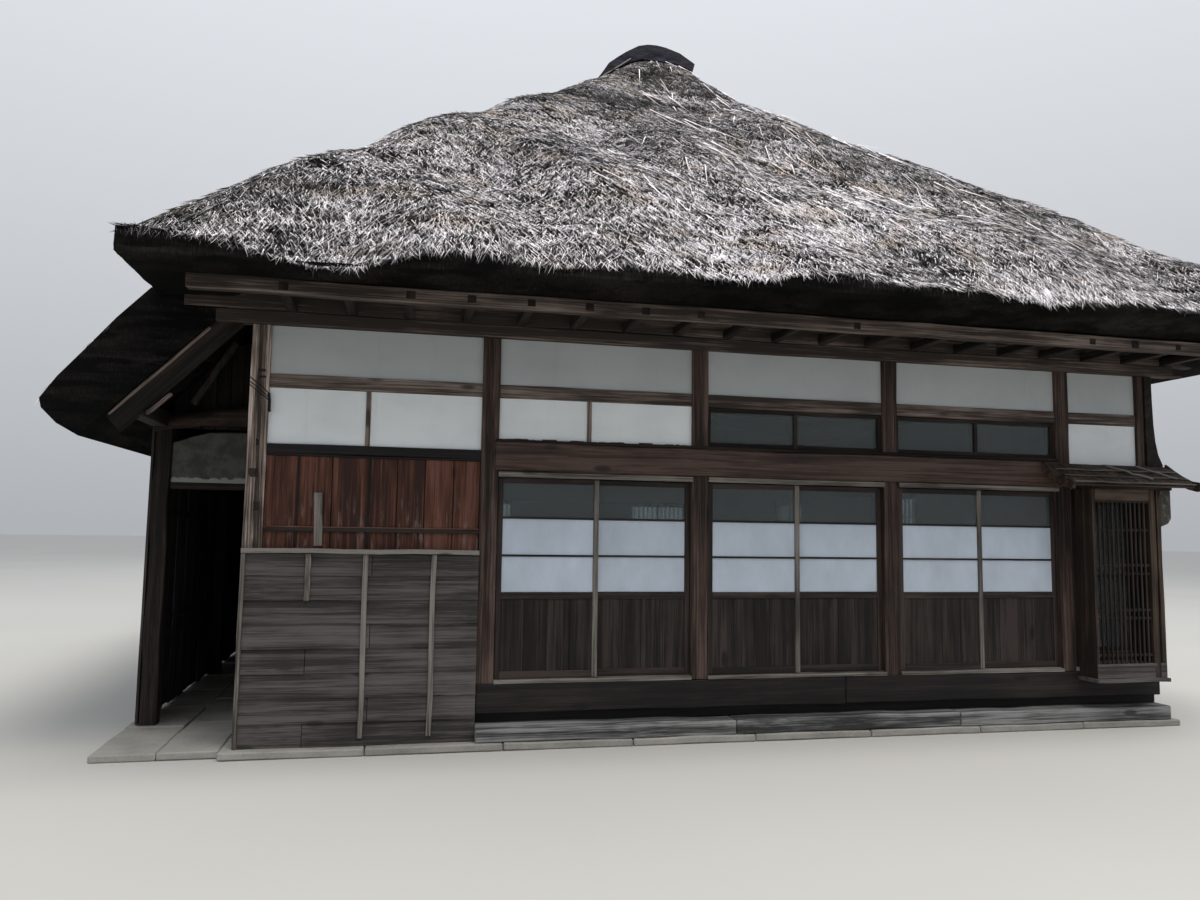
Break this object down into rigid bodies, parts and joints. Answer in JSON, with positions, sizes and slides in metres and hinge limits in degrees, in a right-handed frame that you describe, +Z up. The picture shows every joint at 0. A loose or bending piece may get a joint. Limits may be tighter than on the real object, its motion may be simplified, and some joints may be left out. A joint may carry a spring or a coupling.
{
  "type": "thatched timber farmhouse",
  "caption": "Hipped thatch farmhouse on a post and beam frame, with plaster panels, board walls, sliding glazed doors, a lattice bay and a side lean-to.",
  "frame": {"origin": "on the ground under the middle of the whole house, roof overhangs included", "axes": "+Z up, +X along the front to the right as seen from outside, +Y from the front into the house"},
  "size_m": [10.9705, 13.801, 8.385],
  "materials": {
    "stone": "rough weathered stone and concrete",
    "brown_wood": "weathered brown timber",
    "red_wood": "red-brown aged boards",
    "grey_wood": "silver-grey weathered timber",
    "dark_wood": "smoke-dark timber",
    "track_wood": "pale worn sliding track",
    "plaster": "white lime plaster",
    "mud_plaster": "grey mud plaster",
    "clear_glass": "clear window glass",
    "frosted_glass": "frosted glass",
    "thatch": "weathered reed thatch",
    "ridge_cap": "dark folded sheet"
  },
  "bodies": {
    "house": {"footing_front": "stone", "footing_back": "stone", "footing_left": "stone", "footing_right": "stone", "floor_boards": "brown_wood", "front_post_1": "brown_wood", "front_post_2": "brown_wood", "front_post_3": "brown_wood", "front_post_4": "brown_wood", "front_post_5": "brown_wood", "front_post_6": "brown_wood", "front_mid_rail": "brown_wood", "door_lintel_beam": "red_wood", "front_foundation_timber": "grey_wood", "front_sill_beam": "dark_wood", "front_eave_frame": "dark_wood", "back_eave_frame": "dark_wood", "front_plaster_upper": "plaster", "front_plaster_lower": "plaster", "front_plaster_corner": "plaster", "front_wainscot_boards": "red_wood", "front_clapboards": "grey_wood", "transom_frame": "dark_wood", "transom_glass_1": "clear_glass", "transom_glass_2": "clear_glass", "door_track": "track_wood", "door_head_strip": "track_wood", "lattice_bay": "dark_wood", "corner_window_glass": "clear_glass", "pent_roof": "brown_wood", "right_frame": "brown_wood", "right_wall_panels": "plaster", "right_window_glass": "clear_glass", "left_frame": "brown_wood", "left_wall_panels": "plaster", "back_frame": "brown_wood", "back_wall_panels": "plaster", "back_window_glass": "clear_glass", "leanto_frame": "dark_wood", "leanto_boards": "grey_wood", "porch_plaster_panel": "mud_plaster", "porch_tie_log": "dark_wood", "thatch_front": "thatch", "thatch_back": "thatch", "thatch_left": "thatch", "thatch_right": "thatch", "ridge_cap": "ridge_cap", "roof_frame": "dark_wood"},
    "leaf_1": {"door_leaf_1": "dark_wood", "door_glass_1": "frosted_glass"},
    "leaf_2": {"door_leaf_2": "dark_wood", "door_glass_2": "frosted_glass"},
    "leaf_3": {"door_leaf_3": "dark_wood", "door_glass_3": "frosted_glass"},
    "leaf_4": {"door_leaf_4": "dark_wood", "door_glass_4": "frosted_glass"},
    "leaf_5": {"door_leaf_5": "dark_wood", "door_glass_5": "frosted_glass"},
    "leaf_6": {"door_leaf_6": "dark_wood", "door_glass_6": "frosted_glass"}
  },
  "joints": [
    {"name": "slide_1", "type": "slide", "parent": "house", "child": "leaf_1", "axis": [1, 0, 0], "range_m": [0, 0.85]},
    {"name": "slide_2", "type": "slide", "parent": "house", "child": "leaf_2", "axis": [1, 0, 0], "range_m": [-0.85, 0]},
    {"name": "slide_3", "type": "slide", "parent": "house", "child": "leaf_3", "axis": [1, 0, 0], "range_m": [0, 0.85]},
    {"name": "slide_4", "type": "slide", "parent": "house", "child": "leaf_4", "axis": [1, 0, 0], "range_m": [-0.85, 0]},
    {"name": "slide_5", "type": "slide", "parent": "house", "child": "leaf_5", "axis": [1, 0, 0], "range_m": [0, 0.85]},
    {"name": "slide_6", "type": "slide", "parent": "house", "child": "leaf_6", "axis": [1, 0, 0], "range_m": [-0.85, 0]}
  ]
}
